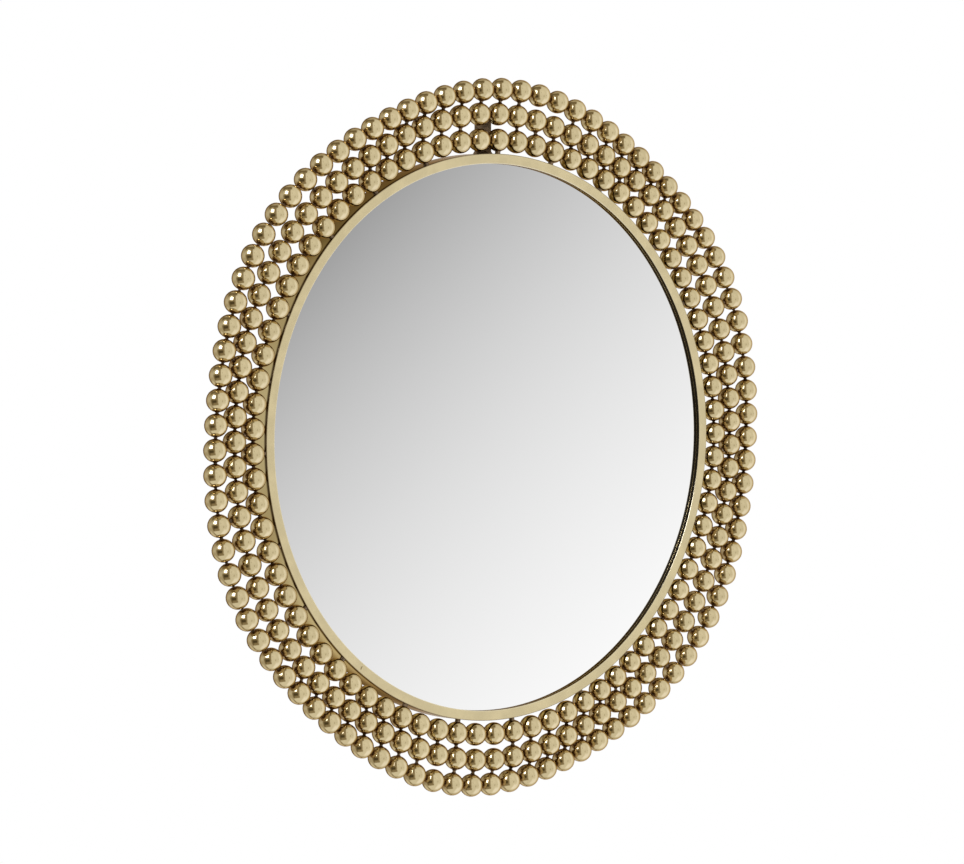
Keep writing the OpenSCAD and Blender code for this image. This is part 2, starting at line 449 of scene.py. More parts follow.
def soft_clouds() -> bpy.types.NodeTree:
    """Slow uneven patches, such as wiping marks or uneven colour.

    Returns:
        A group whose Value drifts from 0 to 1.
    """
    g = Group("soft clouds", {"Vector": None, "Scale": 30.0, "Low": 0.35, "High": 0.65}, ["Value"])
    inputs = {"Vector": g.given["Vector"], "Scale": g.given["Scale"], "Detail": 4.0, "Roughness": 0.55}
    noise = g.node("TexNoise", inputs).outputs["Fac"]
    g.put_out("Value", g.ramp(noise, g.given["Low"], g.given["High"]))
    return g.tree


def brushed_lines() -> bpy.types.NodeTree:
    """Fine lines that run along the first map coordinate, as noise stretched that way.

    Returns:
        A group whose Value varies from line to line.
    """
    g = Group("brushed lines", {"Vector": None, "Lines per Metre": 2500.0, "Stretch": 60.0}, ["Value"])
    lines = g.given["Lines per Metre"]
    along = g.math("DIVIDE", lines, g.given["Stretch"])
    scale = g.node("CombineXYZ", {0: along, 1: lines, 2: lines}).outputs[0]
    g.put_out("Value", g.noise(g.vector("MULTIPLY", g.given["Vector"], scale), 1.0, 3.0))
    return g.tree


@dataclass
class Effects:
    """The node groups that the finishes share, each built once."""

    scratches: bpy.types.NodeTree = field(default_factory=fine_scratches)
    specks: bpy.types.NodeTree = field(default_factory=small_specks)
    clouds: bpy.types.NodeTree = field(default_factory=soft_clouds)
    brushing: bpy.types.NodeTree = field(default_factory=brushed_lines)


class Paint(Shader):
    """A material's own tree, which lays the shared effects by Object coordinates."""

    def __init__(self, tree: bpy.types.NodeTree, effects: Effects) -> None:
        """Starts on a material's tree."""
        super().__init__(tree)
        self.effects = effects
        self.place = self.node("TexCoord").outputs["Object"]

    def worn(self, wear: Wear) -> Socket:
        """Reads one of the surface's own values."""
        return self.node("Attribute", attribute_name=wear.value).outputs["Fac"]

    def scratches(self, cells: float = 60.0) -> Socket:
        """Lays fine scratches and returns their mask."""
        inputs = {"Vector": self.place, "Cells per Metre": cells}
        return self.group(self.effects.scratches, inputs).outputs["Mask"]

    def specks(self, cells: float = 400.0, share: float = 0.2, radius: float = 0.15) -> Socket:
        """Lays small specks and returns their mask."""
        inputs = {"Vector": self.place, "Cells per Metre": cells, "Share": share, "Radius": radius}
        return self.group(self.effects.specks, inputs).outputs["Mask"]

    def clouds(self, scale: float) -> Socket:
        """Lays slow uneven patches and returns their value."""
        return self.group(self.effects.clouds, {"Vector": self.place, "Scale": scale}).outputs["Value"]

    def over(self, base: Input, mask: Socket, share: float, colour: tuple[float, float, float]) -> Socket:
        """Lays a colour over another as strongly as a mask times a share, and returns the result."""
        return self.mix(self.math("MULTIPLY", mask, share), base, (*colour, 1.0))

    def bump(self, strength: float, depth: float, height: Socket, sunk: bool = False) -> Socket:
        """Adds a relief that rises with its height, or sinks with it, and returns its normal."""
        inputs = {"Strength": strength, "Distance": depth, "Height": height}
        return self.node("Bump", inputs, invert=sunk).outputs[0]


# Finishes


@dataclass(frozen=True)
class Finish:
    """What every finish has: a material that is made once.

    Attributes:
        name: Name of the material.
        slot: Name of the record's material slot; it is not used.
        colour: Linear base colour.
        roughness: How far the surface scatters what it mirrors.
    """

    name: str
    slot: str
    colour: tuple[float, float, float]
    roughness: float

    def material(self, effects: Effects) -> bpy.types.Material:
        """Makes the material.

        Args:
            effects: The shared node groups.

        Returns:
            The material, or the one made before under the same name.
        """
        if self.name in bpy.data.materials:
            return bpy.data.materials[self.name]
        made = bpy.data.materials.new(self.name)
        paint = Paint(emptied(made), effects)
        surface = paint.node("BsdfPrincipled", {"Roughness": self.roughness} | self.inputs(paint))
        paint.node("OutputMaterial", {"Surface": surface.outputs[0]})
        made.diffuse_color = self.shade(1.0)
        return made

    def inputs(self, paint: Paint) -> Inputs:
        """Gives what goes into the Principled shader, by the names of its inputs."""
        return {"Base Color": self.shade(1.0)}

    def shade(self, share: float) -> tuple[float, ...]:
        """Gives the colour made darker or lighter."""
        return (*(channel * share for channel in self.colour), 1.0)

    def patchy(self, paint: Paint, scale: float, dark: float, light: float = 1.0) -> Socket:
        """Lets the colour drift between two shades of it, and returns it."""
        return paint.mix(paint.clouds(scale), self.shade(dark), self.shade(light))


@dataclass(frozen=True)
class PolishedMetal(Finish):
    """Polished metal with a breath of fine scratches, pits and wiping marks.

    Attributes:
        tint: Colour that heat has left round the welds.
        tint_share: How strongly that colour shows.
        painted_shade: Colour of the painted shade where the balls meet, and along the front of the band's wall.
        painted_shade_share: How strongly that painted shade shows.
        rim: How the colour turns where the surface is seen at a low angle.
        scratch_share: How much rougher a scratch is.
    """

    tint: tuple[float, float, float] = (0.22, 0.11, 0.045)
    tint_share: float = 0.75
    painted_shade: tuple[float, float, float] = (0.26, 0.16, 0.075)
    painted_shade_share: float = 0.6
    rim: tuple[float, float, float] = (0.70, 0.52, 0.36)
    scratch_share: float = 0.12

    def inputs(self, paint: Paint) -> Inputs:
        """Lets the colour and gloss of a mirror-like metal drift a little, and lays painted shade where balls meet.

        Args:
            paint: The material's tree.

        Returns:
            What goes into the Principled shader.
        """
        scratch, pit, wiped = paint.scratches(), paint.specks(), paint.clouds(70.0)
        base = paint.mix(paint.worn(Wear.TONE), self.shade(0.94), self.shade(1.0))
        # painted shade: darkens the metal where balls meet and along the front of the band's wall, where shade and
        # dark reflections fall
        with_painted_shade = paint.over(base, paint.worn(Wear.PAINTED_SHADE_AND_SEAM), self.painted_shade_share, self.painted_shade)
        stained = paint.over(with_painted_shade, paint.worn(Wear.HEAT), self.tint_share, self.tint)
        pitted = paint.over(stained, pit, 0.35, (0.10, 0.07, 0.04))
        dull = paint.math("MULTIPLY_ADD", wiped, 0.03, self.roughness)
        rough = paint.math("MULTIPLY_ADD", scratch, self.scratch_share, dull)
        normal = paint.bump(0.15, 0.05 * MM, paint.math("MULTIPLY_ADD", scratch, 0.4, pit), sunk=True)
        inputs = {"Base Color": pitted, "Metallic": 1.0, "Roughness": rough, "Normal": normal}
        return inputs | {"Specular Tint": (*self.rim, 1.0)}


@dataclass(frozen=True)
class SatinMetal(Finish):
    """Metal rubbed round the band, with a lighter worn inner edge and painted shade along the outer one.

    Attributes:
        bright: Colour of the worn edge.
        painted_shade: Colour of the painted shade along the outer edge, and of the seam's mark.
    """

    bright: tuple[float, float, float] = (0.80, 0.72, 0.50)
    painted_shade: tuple[float, float, float] = (0.12, 0.07, 0.03)

    def inputs(self, paint: Paint) -> Inputs:
        """Lets the gloss of a satin metal follow the way it is rubbed, with painted shade along its outer edge.

        Args:
            paint: The material's tree.

        Returns:
            What goes into the Principled shader.
        """
        along = paint.node("TexCoord").outputs["UV"]
        lines = paint.group(paint.effects.brushing, {"Vector": along}).outputs["Value"]
        edge = paint.worn(Wear.EDGE)
        worn = paint.over(self.patchy(paint, 45.0, 0.90), edge, 0.6, self.bright)
        # painted shade along the face's outer edge, and the seam mark's own dark line
        with_painted_shade = paint.over(worn, paint.worn(Wear.PAINTED_SHADE_AND_SEAM), 0.85, self.painted_shade)
        pitted = paint.over(with_painted_shade, paint.specks(share=0.12), 0.3, (0.16, 0.11, 0.06))
        rough = paint.math("MULTIPLY_ADD", lines, 0.12, self.roughness)
        smooth = paint.math("MULTIPLY_ADD", edge, -0.1, rough)
        normal = paint.bump(0.25, 0.03 * MM, lines)
        return {"Base Color": pitted, "Metallic": 1.0, "Roughness": smooth, "Normal": normal}


@dataclass(frozen=True)
class WeldedMetal(Finish):
    """Rough weld metal with dark patches, its colour darkened partly as painted shade for the parts in shade."""

    def inputs(self, paint: Paint) -> Inputs:
        """Gives a dull metal small lumps and dark stains.

        Args:
            paint: The material's tree.

        Returns:
            What goes into the Principled shader.
        """
        lumps = paint.noise(paint.place, 900.0, 3.0)
        rough = paint.math("MULTIPLY_ADD", lumps, 0.25, self.roughness)
        inputs = {"Base Color": self.patchy(paint, 260.0, 0.45), "Metallic": 1.0, "Roughness": rough}
        return inputs | {"Normal": paint.bump(0.6, 0.3 * MM, lumps)}


@dataclass(frozen=True)
class SilveredGlass(Finish):
    """Clean silvered glass with the faintest wiping haze."""

    def inputs(self, paint: Paint) -> Inputs:
        """Lets the gloss of a mirror drift a little.

        Args:
            paint: The material's tree.

        Returns:
            What goes into the Principled shader.
        """
        haze = paint.math("MULTIPLY_ADD", paint.clouds(9.0), 0.008, self.roughness)
        dusty = paint.math("MULTIPLY_ADD", paint.specks(share=0.04, radius=0.08), 0.05, haze)
        return {"Base Color": self.shade(1.0), "Metallic": 1.0, "Roughness": dusty}


@dataclass(frozen=True)
class Foam(Finish):
    """White closed-cell foam."""

    def inputs(self, paint: Paint) -> Inputs:
        """Gives a matte surface fine cells."""
        cells = paint.node("TexVoronoi", {"Vector": paint.place, "Scale": 900.0}).outputs["Distance"]
        return {"Base Color": self.patchy(paint, 25.0, 0.93), "Normal": paint.bump(0.3, 0.2 * MM, cells)}


@dataclass(frozen=True)
class Fibreboard(Finish):
    """Pressed brown board with short fibres and flecks.

    Attributes:
        fleck: Colour of the darker fibres.
    """

    fleck: tuple[float, float, float] = (0.10, 0.055, 0.028)

    def inputs(self, paint: Paint) -> Inputs:
        """Gives a matte brown surface fibres, flecks and slow patches.

        Args:
            paint: The material's tree.

        Returns:
            What goes into the Principled shader.
        """
        inputs = {"Vector": paint.place, "Scale": 700.0, "Detail": 6.0, "Roughness": 0.7}
        fibre = paint.node("TexNoise", inputs).outputs["Fac"]
        woven = paint.over(self.patchy(paint, 14.0, 1.0, 1.2), paint.ramp(fibre, 0.38, 0.62), 0.35, self.fleck)
        flecked = paint.over(woven, paint.specks(260.0, 0.3), 0.5, self.fleck)
        return {"Base Color": flecked, "Normal": paint.bump(0.35, 0.2 * MM, fibre)}


@dataclass(frozen=True)
class PlatedSteel(Finish):
    """Zinc-plated steel with cloudy plating."""

    def inputs(self, paint: Paint) -> Inputs:
        """Gives a grey metal patches and a few scratches.

        Args:
            paint: The material's tree.

        Returns:
            What goes into the Principled shader.
        """
        cloudy, scratch = paint.clouds(220.0), paint.scratches(130.0)
        dull = paint.math("MULTIPLY_ADD", cloudy, 0.10, self.roughness)
        rough = paint.math("MULTIPLY_ADD", scratch, 0.15, dull)
        base = paint.mix(cloudy, self.shade(0.82), self.shade(1.0))
        normal = paint.bump(0.2, 0.05 * MM, scratch, sunk=True)
        return {"Base Color": base, "Metallic": 1.0, "Roughness": rough, "Normal": normal}


@dataclass(frozen=True)
class Rubber(Finish):
    """Black rubber with a little dust."""

    def inputs(self, paint: Paint) -> Inputs:
        """Gives a dull black surface a fine grain."""
        grain = paint.noise(paint.place, 1500.0)
        return {"Base Color": self.patchy(paint, 120.0, 1.0, 1.48), "Normal": paint.bump(0.3, 0.1 * MM, grain)}


POLISHED_GOLD = PolishedMetal("polished gold", "polished_gold", (0.64, 0.532, 0.306), 0.03)
# The band wall's near-black colour along its front edge is painted shade
POLISHED_WALL = PolishedMetal(
    "polished band wall", "satin_gold", (0.63, 0.53, 0.28), 0.12, painted_shade=(0.05, 0.03, 0.015), painted_shade_share=0.95
)
# Painted shade: near black on the lip's inside, where the recess round the glass lies in shade
RECESS_PAINTED_SHADE = PolishedMetal("painted shade in the recess", "satin_gold", (0.027, 0.026, 0.022), 0.3)
SATIN_GOLD = SatinMetal("satin gold", "satin_gold", (0.71, 0.60, 0.35), 0.28)
# Partly painted shade: the weld metal's colour is darkened for the necks, pegs and strap, which sit in shade
WELD_GOLD_AND_SHADE = WeldedMetal("weld gold and painted shade", "weld_gold", (0.28, 0.20, 0.125), 0.35)
SILVER = SilveredGlass("silvered glass", "silvered_glass", (0.905, 0.905, 0.905), 0.0)
PAD_FOAM = Foam("white foam", "foam", (0.82, 0.82, 0.79), 0.9)
BOARD = Fibreboard("brown fibreboard", "fibreboard", (0.34, 0.21, 0.11), 0.8)
STEEL = PlatedSteel("plated steel", "plated_steel", (0.62, 0.63, 0.65), 0.25)
RUBBER = Rubber("black rubber", "black_rubber", (0.022, 0.022, 0.025), 0.65)


# Pieces


def placed(name: str, data: bpy.types.ID) -> bpy.types.Object:
    """Makes an object of a mesh or camera, puts it into the scene, and returns it."""
    made = bpy.data.objects.new(name, data)
    bpy.context.scene.collection.objects.link(made)
    return made


@dataclass
class Piece:
    """What every sub-assembly has.

    Attributes:
        name: Name of the object in the scene.
        node: The CAD node that the piece stands for.
        finish: The finish of its main surface.
    """

    name: str
    node: str
    finish: Finish

    def surface(self) -> Surface:
        """Works out the shape."""
        raise NotImplementedError

    def finishes(self, made: Surface) -> tuple[list[Finish], np.ndarray | None]:
        """Says which finish each face has, all the same unless a piece says otherwise."""
        return [self.finish], None

    def build(self, effects: Effects) -> None:
        """Makes the object, dresses it, and puts it in the place of its CAD node.

        Args:
            effects: The shared node groups.
        """
        made = self.surface()
        mesh = bpy.data.meshes.new(self.name)
        triangles = made.faces[:, 2] == made.faces[:, 3]
        faces = made.faces[~triangles].tolist() + made.faces[triangles, :3].tolist()
        mesh.from_pydata(made.points.tolist(), [], faces)
        for wear, value in made.values.items():
            mesh.attributes.new(wear.value, "FLOAT", "POINT").data.foreach_set("value", value.astype(np.float32))
        if made.corner_map is not None:
            flat = [made.corner_map[~triangles].reshape(-1), made.corner_map[triangles, :3].reshape(-1)]
            mesh.uv_layers.new(name="surface").data.foreach_set("uv", np.concatenate(flat))
        finishes, chosen = self.finishes(made)
        for finish in finishes:
            mesh.materials.append(finish.material(effects))
        if chosen is not None:
            order = np.argsort(triangles, kind="stable")
            mesh.polygons.foreach_set("material_index", chosen[order].astype(np.int32))
        mesh.shade_smooth()
        mesh.set_sharp_from_angle(angle=SHARP_ANGLE)
        mesh.update()
        made_object = placed(self.name, mesh)
        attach(made_object, BODY)
        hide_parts(self.node)
        log.info("%s: %d points, %d faces", self.name, len(made.points), len(made.faces))


@dataclass
class BallRing(Piece):
    """A ring of polished balls.

    Each ball is a cube with its grid of points pushed out onto a sphere. It has more faces than other
    repeated shapes, because a mirror-bright ball with only a few dozen shows them in its rim.

    Attributes:
        neighbours: Centres of all the balls that may touch these.
        diameter: Diameter of a ball.
        side: Faces along each edge of the cube.
        heat_reach: Angle from a weld within which the metal is discoloured.
        painted_shade_reach: Angle from a neighbour's direction within which painted shade darkens it.
    """

    neighbours: np.ndarray
    diameter: float = BALL
    side: int = 8
    heat_reach: float = math.radians(24)
    painted_shade_reach: float = math.radians(40)

    def ball(self) -> Surface:
        """Works out one ball round the origin.

        Points lie at even angles along each edge of the cube, so the faces come out about the same size.

        Returns:
            The ball.
        """
        spread = np.tan(np.linspace(-math.pi / 4, math.pi / 4, self.side + 1))
        across, up = np.meshgrid(spread, spread, indexing="ij")
        side = np.stack([across, up, np.ones_like(across)], axis=-1).reshape(-1, 3)
        bases = []
        for turn in range(3):
            right, top, normal = np.roll(np.eye(3), -turn, axis=0)
            bases += [[right, top, normal], [top, right, -normal]]
        faces = grid_faces(len(spread), len(spread), False, False)
        cube = Surface(side, faces).copies(np.zeros((len(bases), 3)), np.array(bases))
        cube.points *= self.diameter / 2 / np.linalg.norm(cube.points, axis=1, keepdims=True)
        return Surface(*merged(cube.points, cube.faces)).outward()

    def surface(self) -> Surface:
        """Puts a ball at each centre, and says how near each point lies to a weld and to another ball.

        Returns:
            All the balls of the ring.
        """
        centres, ball = solid_centres(self.node), self.ball()
        made = ball.copies(centres)
        gaps = self.neighbours[None] - centres[:, None]
        reach = np.linalg.norm(gaps, axis=2)
        near = np.argsort(reach, axis=1)[:, 1:7]
        distance = np.take_along_axis(reach, near, axis=1)
        towards = np.take_along_axis(gaps, near[..., None], axis=1) / distance[..., None]
        turned = np.einsum("vi,kni->kvn", ball.points / (self.diameter / 2), towards)
        for wear, furthest, angle, full in (
            (Wear.HEAT, self.diameter + 3 * MM, self.heat_reach, 1.0),
            # painted shade towards each neighbouring ball
            (Wear.PAINTED_SHADE_AND_SEAM, 1.25 * self.diameter, self.painted_shade_reach, 0.97),
        ):
            nearest = np.where(distance[:, None] < furthest, turned, -1.0).max(axis=2)
            made.values[wear] = smooth_step(nearest, math.cos(angle), full).reshape(-1)
        made.values[Wear.TONE] = np.repeat(scattered(len(centres), 1.0), len(ball.points))
        return made


@dataclass
class WeldNecks(Piece):
    """Weld necks between neighbouring balls.

    Attributes:
        balls: Centres of all the balls.
        waist: Diameter of a neck at its middle.
        flare: Diameter of a neck where it runs out on a ball.
        ball_diameter: Diameter of a ball.
        segments: Faces round a neck.
        thinnest: Thickness of the thinnest neck, as a share of the sizes above.
        spread: How much thicker the thickest neck is, as a share of them too.
        lumps: Height of a neck's lumps, as a share of its radius.
    """

    balls: np.ndarray
    waist: float = 3.1 * MM
    flare: float = 5.0 * MM
    ball_diameter: float = BALL
    segments: int = 12
    thinnest: float = 0.9
    spread: float = 0.25
    lumps: float = 0.12

    def surface(self) -> Surface:
        """Puts a hollow-sided neck in the place of each solid of the node.

        A neck's radius grows from its waist as the square of the distance from the middle, and the ends lie
        just inside the two balls. Each neck's thickness differs a little from the next one's.

        Returns:
            All the necks of the node.
        """
        centres = solid_centres(self.node)
        reach = np.linalg.norm(self.balls[None] - centres[:, None], axis=2)
        pair = self.balls[np.argsort(reach, axis=1)[:, :2]]
        axis = pair[:, 1] - pair[:, 0]
        length = np.linalg.norm(axis, axis=1)
        axis /= length[:, None]
        back = np.broadcast_to(Y_AXIS, axis.shape)
        bases = np.stack([back, axis, np.cross(back, axis)], axis=1)
        t = np.linspace(-1, 1, 5)
        one = spindle((self.waist + (self.flare - self.waist) * t * t) / 2, t, 1.0, self.segments)
        made = one.copies(np.zeros((len(centres), 3)))
        local = made.points.reshape(len(centres), -1, 3)
        sink = self.ball_diameter / 2 - self.flare**2 / 4 / self.ball_diameter
        thick = self.thinnest + self.spread * scattered(len(centres), 7.0)
        lumpy = 1 + self.lumps * np.sin(3 * np.arctan2(local[..., 2], local[..., 0]) + 40 * thick[:, None])
        local[..., [0, 2]] *= (thick[:, None] * lumpy)[..., None]
        local[..., 1] *= length[:, None] / 2 - sink
        middle = pair.mean(axis=1)
        made.points = (np.einsum("kvi,kij->kvj", local, bases) + middle[:, None]).reshape(-1, 3)
        return made


@dataclass
class BandPegs(Piece):
    """Short pegs that carry the inner ring on the band, with weld run out at both ends.

    Attributes:
        thickness: Diameter of a peg.
        flare: Diameter where the weld runs out.
        length: Length that shows, with a little inside the band and the ball.
        segments: Faces round a peg.
        lumps: Height of a peg's lumps, as a share of its radius.
        twist: How far the wave of lumps shifts from one end to the other, in radians of the wave.
    """

    thickness: float = 6.0 * MM
    flare: float = 7.4 * MM
    length: float = 4.2 * MM
    segments: int = 20
    lumps: float = 0.04
    twist: float = 60.0

    def surface(self) -> Surface:
        """Puts a waisted peg in the place of each solid of the node.

        Returns:
            All the pegs.
        """
        centres = solid_centres(self.node)
        t = np.linspace(-1, 1, 7)
        radii = (self.thickness + (self.flare - self.thickness) * t**4) / 2
        one = spindle(radii, t, self.length / 2, self.segments)
        x, y, z = one.points.T
        turned = 3 * np.arctan2(z, x) + self.twist * y / self.length
        one.points[:, [0, 2]] *= (1 + self.lumps * np.sin(turned))[:, None]
        outwards, back, across = np.moveaxis(round_axes(centres), 1, 0)
        return one.copies(centres, np.stack([back, outwards, -across], axis=1))


@dataclass
class Band(Piece):
    """The shallow band round the glass, with its lip, and the mark of the seam that closes it.

    Attributes:
        wall_finish: Finish of everything but the front face and the lip's inside.
        recess_painted_shade: Near-black painted shade on the lip's inside, round the glass.
        face: Width of the flat front face.
        lip: Thickness of the lip.
        wall: Thickness of the wall behind the lip.
        edge: Size of the rounded edges.
        segments: Steps round the band.
        seam: Angle of the seam, counterclockwise from the right as seen from the front.
        mark_length: Length of the seam's mark across the face.
        mark_width: Width of the mark.
        mark_depth: Depth of the mark.
        shade_depth: How far behind the face painted shade darkens the outer wall.
        worn_width: Width of the worn strip along the face's inner edge.
        painted_shade_width: Width of the painted shade along the face's outer edge.
    """

    wall_finish: Finish = POLISHED_WALL
    recess_painted_shade: Finish = RECESS_PAINTED_SHADE
    face: float = 11 * MM
    lip: float = 5 * MM
    wall: float = 4 * MM
    edge: float = 0.6 * MM
    segments: int = 384
    seam: float = math.radians(233)
    mark_length: float = 4.5 * MM
    mark_width: float = 1.2 * MM
    mark_depth: float = 0.6 * MM
    shade_depth: float = 5.2 * MM
    worn_width: float = 1.2 * MM
    painted_shade_width: float = 1.0 * MM

    def section(self, outer: float, front: float, rear: float) -> np.ndarray:
        """Draws the band's section, an L with rounded edges, with more points on its face and just behind it.

        Args:
            outer: Radius of the outer wall.
            front: Where the face lies along Y.
            rear: Where the rear edge lies along Y.

        Returns:
            Rows of radius and height.
        """
        opening, inside, ledge = outer - self.face, outer - self.wall, front + self.lip
        corners = [[opening, front], [outer, front], [outer, rear], [inside, rear], [inside, ledge], [opening, ledge]]
        outline = rounded(np.array(corners), self.edge * np.array([1, 1, 1, 0.6, 0, 0.6]))
        face = in_line(np.linspace(opening + self.edge, outer - self.edge, 20)[1:-1], front)
        side = in_line(outer, front + self.shade_depth * np.array([0.4, 0.6, 0.8, 1.0]))
        after_curves = np.repeat([4, 8], [len(face), len(side)])
        return np.insert(outline, after_curves, np.concatenate([face, side]), axis=0)

    def angles(self, half_mark: float) -> np.ndarray:
        """Gives the steps round the band in radians, closer beside the seam.

        Args:
            half_mark: Half of the angle that the seam's mark takes up.

        Returns:
            The steps in order.
        """
        even = even_angles(self.segments)
        beside = np.array([0.35, 0.7, 1.0, 1.5, 2.2]) * half_mark
        clear = np.abs(even - self.seam) > 2.6 * half_mark
        return np.sort(np.concatenate([even[clear], self.seam - beside, [self.seam], self.seam + beside]))

    def surface(self) -> Surface:
        """Carries the band's section round the mirror, and sinks the seam's mark into its face.

        Returns:
            The band, with the wear of its edges.
        """
        low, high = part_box(self.node)
        outer, front, rear = high[0], low[1], high[1]
        angles = self.angles(self.mark_width / 2 / outer)
        made = revolved(self.section(outer, front, rear), angles, closed=True, mapped=True)
        x, y, z = made.points.T
        inwards = outer - np.hypot(x, z)
        sideways = np.abs(np.arctan2(z, x) % math.tau - self.seam) * outer
        mark = soft_fall(sideways, self.mark_width * 0.3, self.mark_width * 0.7)
        mark *= soft_fall(np.abs(inwards - self.face / 2), self.mark_length * 0.42, self.mark_length * 0.58)
        mark *= y < front + 0.01 * MM
        made.points[:, 1] += mark * self.mark_depth
        y = made.points[:, 1]
        in_front = y < front + 1.5 * self.edge
        made.values[Wear.EDGE] = in_front * soft_fall(self.face - inwards, 0.0, self.worn_width)
        # painted shade along the front of the outer wall and the face's outer edge; the seam's mark darkens as its
        # own dark line
        at_front = soft_fall(y - front, 0.5 * self.shade_depth, self.shade_depth)
        outside = soft_fall(inwards, 0.1 * self.painted_shade_width, self.painted_shade_width)
        made.values[Wear.PAINTED_SHADE_AND_SEAM] = np.maximum(outside * at_front, 0.6 * mark)
        made.values[Wear.TONE] = np.ones(len(y))
        return made

    def finishes(self, made: Surface) -> tuple[list[Finish], np.ndarray | None]:
        """Gives the front face the satin finish, the lip's inside the near-black painted shade, and the rest the
        polished one.

        Args:
            made: The band's shape.

        Returns:
            The three finishes, and the number of each face's finish.
        """
        middles = made.points[made.faces].mean(axis=1)
        depth = middles[:, 1] - made.points[:, 1].min()
        behind = depth > self.edge
        radius = np.hypot(middles[:, 0], middles[:, 2])
        in_recess = behind & (radius < radius.min() + 0.2 * MM) & (depth < self.lip - 0.3 * self.edge)
        return [self.finish, self.wall_finish, self.recess_painted_shade], behind.astype(int) + in_recess


@dataclass
class Disc(Piece):
    """A flat round sheet with rounded or bevelled rims, for the glass, the pad and the board.

    Attributes:
        rim: Size of the rim's bevel.
        steps: Pieces in each bevel, 1 for a flat one.
        segments: Steps round the sheet.
    """

    rim: float = 0.6 * MM
    steps: int = 1
    segments: int = 240

    def surface(self) -> Surface:
        """Carries half of the sheet's section round the mirror's axis.

        Returns:
            The sheet, between the front and the back of its node.
        """
        low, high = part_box(self.node)
        radius, front, back = high[0], low[1], high[1]
        corners = np.array([[0, front], [radius, front], [radius, back], [0, back]])
        outline = rounded(corners, self.rim * np.array([0, 1, 1, 0]), self.steps)
        rings = np.linspace(0, radius * 0.96, 6)[1:]
        profile = [outline[:1], in_line(rings, front), outline[1:-1], in_line(rings[::-1], back), outline[-1:]]
        return revolved(np.concatenate(profile), even_angles(self.segments))


@dataclass
class BoardClips(Piece):
    """Bent steel clips that hold the board in the band.

    Attributes:
        thickness: Thickness of the steel.
        foot: Length of the foot on the board.
        width: Width of a clip.
        bend: Radius outside the bend.
        edge: Size of the rounded ends.
        chamfer: Size of the broken side edges.
    """

    thickness: float = 1.2 * MM
    foot: float = 20 * MM
    width: float = 12 * MM
    bend: float = 2.4 * MM
    edge: float = 0.3 * MM
    chamfer: float = 0.25 * MM

    def surface(self) -> Surface:
        """Draws the clip's bent section, and gives it its width with broken edges.

        The section lies in a clip's own axes: outwards from the mirror's centre, and back.

        Returns:
            All the clips.
        """
        low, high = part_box(self.node)
        upright, thin, edge = high[1] - low[1], self.thickness, self.edge
        corners = [[-self.foot, 0], [0, 0], [0, upright], [-thin, upright], [-thin, thin], [-self.foot, thin]]
        radii = np.array([edge, self.bend, edge, edge, self.bend - thin, edge])
        outline = rounded(np.array(corners), radii, 5)
        ahead = np.roll(outline, -1, axis=0) - np.roll(outline, 1, axis=0)
        ahead /= np.linalg.norm(ahead, axis=1, keepdims=True)
        inset = outline + np.stack([-ahead[:, 1], ahead[:, 0]], axis=1) * self.chamfer
        half, count = self.width / 2, len(outline)
        stations = [(inset, -half), (outline, self.chamfer - half), (outline, half - self.chamfer), (inset, half)]
        points = np.concatenate([np.insert(shape, 2, side, axis=1) for shape, side in stations])
        step = np.arange(count // 2 - 1)
        cap = np.stack([step, step + 1, count - 2 - step, count - 1 - step], axis=1)
        faces = [grid_faces(len(stations), count, False, True), cap, cap[:, ::-1] + len(points) - count]
        one = Surface(points, np.concatenate(faces)).outward()
        axes = round_axes(solid_centres(self.node))
        in_node, _ = node_points(self.node)
        wall = np.hypot(in_node[:, 0], in_node[:, 2]).max()
        return one.copies(axes[:, 0] * wall + [0, low[1], 0], axes)


